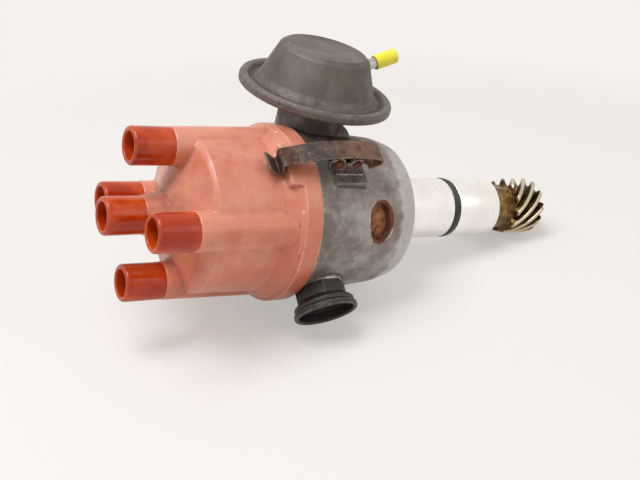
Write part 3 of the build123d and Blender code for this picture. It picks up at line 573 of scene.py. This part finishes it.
# Cap: faded shell, and its five clean tower ends
capSizes = {
    "skin": 0.46, "relax": 2, "keep": 0.36, "columnEnd": -99.8, "bore": 5.3,
    "neckRoot": (-98.8, 11.6), "neckFlare": 10.9, "neckWaist": (-101.0, 8.7), "neckEnd": (-109.4, 7.45),
    "neckFloor": -106.0, "towerCount": 4, "pitchRadius": 26.2, "firstAngle": -15.15, "towerTip": -115.6,
    "centreTip": -124.3, "towerRadius": 7.3, "towerLength": 16.3, "rootStep": 0.1, "rootTaper": 1.5,
    "tipRound": 1.1, "boreRound": 0.7, "towerSegments": 64}

capWork = copiedMesh("distributor_cap", capSizes["columnEnd"] * mm, False)
neckOutline = [
    (capSizes["neckRoot"][0], 0), capSizes["neckRoot"], (capSizes["columnEnd"], capSizes["neckFlare"]),
    capSizes["neckWaist"], capSizes["neckEnd"], (capSizes["neckEnd"][0], capSizes["bore"]),
    (capSizes["neckFloor"], capSizes["bore"]), (capSizes["neckFloor"], 0)]
neck = turnedShape("neckBlank", neckOutline)
capWork.from_mesh(neck.data)
bpy.data.objects.remove(neck)
capShell = softened(capWork, "cap_shell", capSizes["skin"], capSizes["relax"], capSizes["keep"])
finishPiece(capShell, "housing_assembly", "mouldedPhenolicFaded", "phenolic_resin", "distributor_cap")


# One tower end repeated round the cap, and one more in the middle
def towerTree():
    tree = bpy.data.node_groups.new("towerEnds", "GeometryNodeTree")
    sockets = {"Geometry": "NodeSocketGeometry", "Count": "NodeSocketInt", "Pitch Radius": "NodeSocketFloat",
               "First Angle": "NodeSocketFloat", "Centre Offset": "NodeSocketFloat",
               "Finish": "NodeSocketMaterial"}
    for name, kind in sockets.items():
        tree.interface.new_socket(name=name, in_out="INPUT", socket_type=kind)
    tree.interface.new_socket(name="Geometry", in_out="OUTPUT", socket_type="NodeSocketGeometry")
    given = addNode(tree, "NodeGroupInput").outputs
    circle = addNode(tree, "GeometryNodeMeshCircle", {}, {
        "Vertices": given["Count"], "Radius": given["Pitch Radius"]})
    upright = addNode(tree, "GeometryNodeTransform", {}, {
        "Geometry": circle.outputs[0], "Rotation": (0, math.pi / 2, 0)})
    turn = addNode(tree, "ShaderNodeCombineXYZ", {}, {"X": given["First Angle"]})
    placed = addNode(tree, "GeometryNodeTransform", {}, {
        "Geometry": upright.outputs[0], "Rotation": turn.outputs[0]})
    ring = addNode(tree, "GeometryNodeInstanceOnPoints", {}, {
        "Points": placed.outputs[0], "Instance": given["Geometry"]})
    shift = addNode(tree, "ShaderNodeCombineXYZ", {}, {"X": given["Centre Offset"]})
    middle = addNode(tree, "GeometryNodeTransform", {}, {
        "Geometry": given["Geometry"], "Translation": shift.outputs[0]})
    both = addNode(tree, "GeometryNodeJoinGeometry")
    tree.links.new(ring.outputs[0], both.inputs[0])
    tree.links.new(middle.outputs[0], both.inputs[0])
    real = addNode(tree, "GeometryNodeRealizeInstances", {}, {"Geometry": both.outputs[0]})
    painted = addNode(tree, "GeometryNodeSetMaterial", {}, {
        "Geometry": real.outputs[0], "Material": given["Finish"]})
    addNode(tree, "NodeGroupOutput", {}, {"Geometry": painted.outputs[0]})
    return tree


# Gives a tree its inputs by name and keeps what it makes
def runTree(piece, tree, values):
    modifier = piece.modifiers.new("nodes", "NODES")
    modifier.node_group = tree
    for item in tree.interface.items_tree:
        if item.in_out == "INPUT" and item.name in values:
            modifier[item.identifier] = values[item.name]
    return settle(piece)


tip, outer = capSizes["towerTip"], capSizes["towerRadius"]
root = tip + capSizes["towerLength"]
towerOutline = rounded([
    (root, capSizes["bore"], 0), (root, outer - capSizes["rootStep"], 0),
    (root - capSizes["rootTaper"], outer, 0), (tip, outer, capSizes["tipRound"]),
    (tip, capSizes["bore"], capSizes["boreRound"])])
towers = turnedShape("tower_ends", towerOutline, segments=capSizes["towerSegments"])
runTree(towers, towerTree(), {
    "Count": capSizes["towerCount"], "Pitch Radius": capSizes["pitchRadius"] * mm,
    "First Angle": math.radians(capSizes["firstAngle"]),
    "Centre Offset": (capSizes["centreTip"] - tip) * mm, "Finish": materials["mouldedPhenolicClean"]})
shadeSmooth(towers, creaseAngle)
finishPiece(towers, "housing_assembly", "mouldedPhenolicClean", "phenolic_resin", "distributor_cap")

# Housing: cast bowl with its neck, and the turned shank
housingSizes = {
    "skin": 0.42, "relax": 2, "keep": 0.3, "cut": 1.0, "stubFrom": 0.2, "stubCore": 12.0, "stubRadius": 12.4,
    "cornerWall": [(-29.3, 24.9), (-29.3, 26.43), (-29.47, 26.72), (-29.66, 27.0), (-31.0, 27.0)],
    "cornerReach": (29.0, 42.4), "shankFrom": -0.4, "shankRadius": 13.5, "bore": 6.5, "grooveFrom": 34.7,
    "grooveTo": 38.5, "grooveFloor": 11.4, "shankEnd": 63.1, "endChamfer": 1.0, "edgeRound": 0.3,
    "chamferRound": 0.4, "roundSteps": 3, "segments": 160}
bowlWork = copiedMesh("housing", housingSizes["cut"] * mm, True)
# The wall of the neck is closed at its rounded corner, where the rod's channel runs thin
addPrism(bowlWork, housingSizes["cornerWall"], *housingSizes["cornerReach"])
bowl = softened(bowlWork, "cast_bowl", housingSizes["skin"], housingSizes["relax"], housingSizes["keep"])
# The stub left of the shank is drawn in, to lie hidden in the turned one
for vertex in bowl.data.vertices:
    across = math.hypot(vertex.co.y, vertex.co.z)
    if vertex.co.x > housingSizes["stubFrom"] * mm and across > housingSizes["stubCore"] * mm:
        vertex.co.y *= housingSizes["stubRadius"] * mm / across
        vertex.co.z *= housingSizes["stubRadius"] * mm / across
finishPiece(bowl, "housing_assembly", "castAluminiumWeathered", "cast_aluminium", "housing")

radius, end, edge = housingSizes["shankRadius"], housingSizes["shankEnd"], housingSizes["edgeRound"]
shankOutline = rounded([
    (housingSizes["shankFrom"], housingSizes["bore"], 0), (housingSizes["shankFrom"], radius, 0),
    (housingSizes["grooveFrom"], radius, edge), (housingSizes["grooveFrom"], housingSizes["grooveFloor"], 0),
    (housingSizes["grooveTo"], housingSizes["grooveFloor"], 0), (housingSizes["grooveTo"], radius, edge),
    (end - housingSizes["endChamfer"], radius, housingSizes["chamferRound"]),
    (end, radius - housingSizes["endChamfer"], edge), (end, housingSizes["bore"], edge)],
    housingSizes["roundSteps"])
shank = turnedShape("turned_shank", shankOutline, segments=housingSizes["segments"])
finishPiece(shank, "housing_assembly", "turnedAluminium", "cast_aluminium", "housing")

# Vacuum can: pressed dome with a rolled rim and the groove inside it, each corner as height, radius, rounding
canSizes = {
    "dishMiddle": (62.5, 0, 0), "dish": (62.5, 13.0, 4.0), "lip": (63.3, 16.6, 1.2),
    "shoulder": (61.6, 18.9, 2.0), "foot": (46.0, 25.2, 1.4), "groove": (45.4, 28.0, 0.7),
    "bead": (46.9, 29.6, 0.8), "edge": (47.0, 31.8, 0.6), "rimTop": (45.7, 32.5, 0.7),
    "rimFoot": (43.5, 32.5, 0.6), "curlOut": (42.9, 31.8, 0.4), "curlIn": (42.9, 30.9, 0),
    "underRim": (45.0, 30.9, 0), "innerFoot": (45.0, 26.0, 0.4), "innerTop": (60.9, 18.0, 1.6),
    "innerMiddle": (61.6, 0, 0)}
canSteps, canSegments = 6, 160
canOutline = rounded(list(canSizes.values()), canSteps)
canDome = turnedShape("can_shell", canOutline, canAxis, (0, 0, 1), canSegments)
finishPiece(canDome, "housing_assembly", "pressedSteelDull", "painted_steel", "can_dome")

# Small parts with softened edges: name, skin in mm, passes, share of triangles kept, body, finish, slot
softParts = {
    "clip_near": ("strap_near", 0.2, 2, 1.0, "clip_near_body", "springSteelRusted", "rusty_steel"),
    "clip_far": ("strap_far", 0.2, 2, 1.0, "clip_far_body", "springSteelRusted", "rusty_steel"),
    "clip_bracket_near": (
        "bracket_near", 0.16, 2, 1.0, "housing_assembly", "stampedSteelWorn", "rusty_steel"),
    "clip_bracket_far": (
        "bracket_far", 0.16, 2, 1.0, "housing_assembly", "stampedSteelWorn", "rusty_steel"),
    "clip_pins_near": ("pins_near", 0.15, 3, 1.0, "housing_assembly", "steelDeepRust", "rusty_steel"),
    "clip_pins_far": ("pins_far", 0.15, 3, 1.0, "housing_assembly", "steelDeepRust", "rusty_steel"),
    "connector_socket": (
        "cable_socket", 0.26, 2, 1.0, "housing_assembly", "mouldedNylonBlack", "black_resin"),
    "nipple_cover": ("vinyl_cap", 0.28, 14, 1.0, "cover_body", "dippedVinylYellow", "yellow_rubber"),
    "drive_gear": ("helical_gear", 0.2, 2, 0.45, "shaft_assembly", "hobbedSteelOiled", "oiled_steel"),
}
for nodeName, (pieceName, voxel, passes, keep, body, finish, slot) in softParts.items():
    part = softened(copiedMesh(nodeName), pieceName, voxel, passes, keep)
    finishPiece(part, body, finish, slot, nodeName)
print("pieces made")

# Camera at the photograph's viewing angle
view = {"forward": (0.5466, 0.7133, -0.4387), "right": (0.8364, -0.4902, 0.2453),
        "target": (-29.0, -5.61, -11.21), "distance": 380.86, "lens": 50.625, "sensor": 36.0,
        "clipStart": 0.01, "clipEnd": 20.0}
forward, right = Vector(view["forward"]).normalized(), Vector(view["right"]).normalized()
up = right.cross(forward).normalized()
right = forward.cross(up)
aim = Vector(view["target"]) * mm
camera = newObject("camera", bpy.data.cameras.new("camera"))
camera.data.lens = view["lens"]
camera.data.sensor_width = view["sensor"]
camera.data.clip_start = view["clipStart"]
camera.data.clip_end = view["clipEnd"]
spot = (Vector(view["target"]) - forward * view["distance"]) * mm
camera.matrix_world = Matrix.Translation(spot) @ Matrix((right, up, -forward)).transposed().to_4x4()
scene.camera = camera

# Pale table top under the lowest points, fading out round its edge
table = {"centreX": -10.0, "radius": 420.0, "fadeFrom": 250.0, "fadeTo": 400.0, "segments": 128,
         "colour": "#EDEBE8", "glow": "#F7F7F6", "lift": 0.43}
tableUp = Vector(tableNormal).normalized()
lowest = min(tableUp.dot(v.co) for o in nodes.values() for v in o.data.vertices)
anchor = Vector((table["centreX"] * mm, 0, 0))
middle = tableUp * lowest + (anchor - tableUp * tableUp.dot(anchor))
tableWork = bmesh.new()
bmesh.ops.create_circle(tableWork, cap_ends=True, radius=table["radius"] * mm, segments=table["segments"])
tableWork.transform(Matrix.Translation(middle) @ tableUp.to_track_quat("Z", "Y").to_matrix().to_4x4())
tableMesh = bpy.data.meshes.new("table_top")
tableWork.to_mesh(tableMesh)
tableWork.free()
tableTop = newObject("table_top", tableMesh)


# 1 where a surface is seen straight on, in a reflection or through glass, 0 where it only gives light
def plainlySeen(tree):
    path = addNode(tree, "ShaderNodeLightPath").outputs
    seen = path["Is Camera Ray"]
    for kind in ("Is Glossy Ray", "Is Transmission Ray"):
        seen = addNode(tree, "ShaderNodeMath", {"operation": "MAXIMUM"}, {0: seen, 1: path[kind]}).outputs[0]
    return seen


# Matt white board, lifted towards the white of its surroundings where it is seen
paper = bpy.data.materials.new("paintedBoardWhite")
tree = emptyTree(paper)
place = addNode(tree, "ShaderNodeTexCoord").outputs["Object"]
away = addNode(tree, "ShaderNodeVectorMath", {"operation": "DISTANCE"}, {0: place, 1: middle}).outputs[1]
fade = addNode(tree, "ShaderNodeMapRange", {"interpolation_type": "SMOOTHSTEP"}, {
    "Value": away, "From Min": table["fadeFrom"] * mm, "From Max": table["fadeTo"] * mm}).outputs[0]
board = addNode(tree, "ShaderNodeBsdfDiffuse", {}, {"Color": linear(table["colour"])})
glow = addNode(tree, "ShaderNodeEmission", {}, {"Color": linear(table["glow"]), "Strength": 1.0})
share = addNode(tree, "ShaderNodeMath", {"operation": "MULTIPLY"}, {0: plainlySeen(tree), 1: table["lift"]})
lifted = addNode(tree, "ShaderNodeMixShader", {}, {
    0: share.outputs[0], 1: board.outputs[0], 2: glow.outputs[0]})
clear = addNode(tree, "ShaderNodeBsdfTransparent")
mixed = addNode(tree, "ShaderNodeMixShader", {}, {0: fade, 1: lifted.outputs[0], 2: clear.outputs[0]})
addNode(tree, "ShaderNodeOutputMaterial", {}, {"Surface": mixed.outputs[0]})
tableMesh.materials.append(paper)

# White surroundings where they are seen, and a warmer, lower level of light from them
studio = {"backdrop": "#F6F2ED", "light": "#FFEAD6", "level": 0.47}
world = bpy.data.worlds.new("studio")
scene.world = world
tree = emptyTree(world)
plain = addNode(tree, "ShaderNodeBackground", {}, {
    "Color": linear(studio["light"]), "Strength": studio["level"]})
backdrop = addNode(tree, "ShaderNodeBackground", {}, {"Color": linear(studio["backdrop"]), "Strength": 1.0})
chosen = addNode(tree, "ShaderNodeMixShader", {}, {
    0: plainlySeen(tree), 1: plain.outputs[0], 2: backdrop.outputs[0]})
addNode(tree, "ShaderNodeOutputWorld", {}, {"Surface": chosen.outputs[0]})

# Soft boxes, placed in metres from the camera's aim: a strong one above on the left, a weak one on the right
lamps = {
    "keyBox": {"side": -0.3, "height": 1.0, "back": 0.2, "size": 0.65, "watts": 9.2, "colour": "#F2F8FF"},
    "fillBox": {"side": 0.9, "height": 0.6, "back": 0.4, "size": 0.6, "watts": 0.8, "colour": "#FFFFFF"},
}
flatForward = (forward - tableUp * forward.dot(tableUp)).normalized()
for name, lamp in lamps.items():
    light = bpy.data.lights.new(name, "AREA")
    light.shape = "DISK"
    light.size = lamp["size"]
    light.energy = lamp["watts"]
    light.color = linear(lamp["colour"])[:3]
    box = newObject(name, light)
    at = aim + right * lamp["side"] + tableUp * lamp["height"] - flatForward * lamp["back"]
    box.location = at
    box.rotation_euler = (at - aim).to_track_quat("Z", "Y").to_euler()
scene.view_settings.view_transform = "Standard"
print("stage, camera and lamps made")
